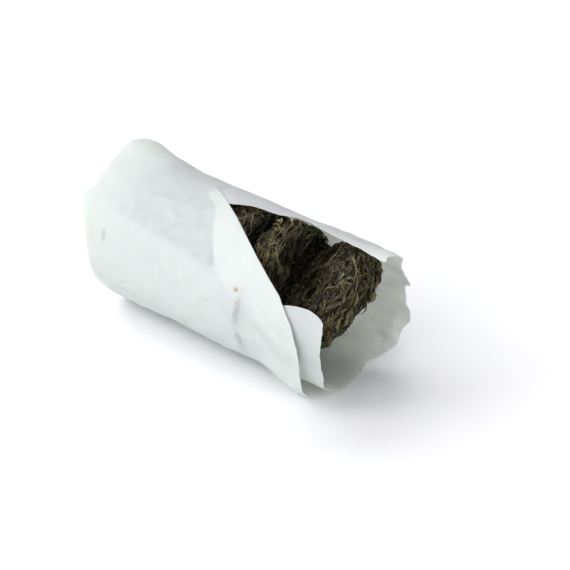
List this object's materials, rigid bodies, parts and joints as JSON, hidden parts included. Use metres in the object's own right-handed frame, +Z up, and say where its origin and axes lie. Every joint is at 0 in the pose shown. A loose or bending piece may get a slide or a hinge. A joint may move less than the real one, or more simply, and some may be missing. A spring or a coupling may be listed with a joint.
{
  "type": "paper-wrapped roll of raw pu erh tea coins",
  "caption": "Roll of round pressed raw pu erh tea coins in white tissue paper, torn open at one end so that the dark leafy coins show.",
  "frame": {"origin": "under the middle of the roll's bounding box, on the surface it lies on", "axes": "+X along the roll towards its torn open mouth, +Z up, -Y towards the side with the slanting flap"},
  "size_m": [0.0974, 0.0436, 0.0434],
  "materials": {
    "tissue_paper": "thin matt white tissue, a little see-through",
    "pressed_tea": "dry dark brown leaves with brown and golden tips"
  },
  "bodies": {
    "root": {"paper_wrap": "tissue_paper", "tea_coin_1": "pressed_tea", "tea_coin_2": "pressed_tea", "tea_coin_3": "pressed_tea", "tea_coin_4": "pressed_tea", "tea_coin_5": "pressed_tea", "tea_coin_6": "pressed_tea"}
  },
  "joints": []
}
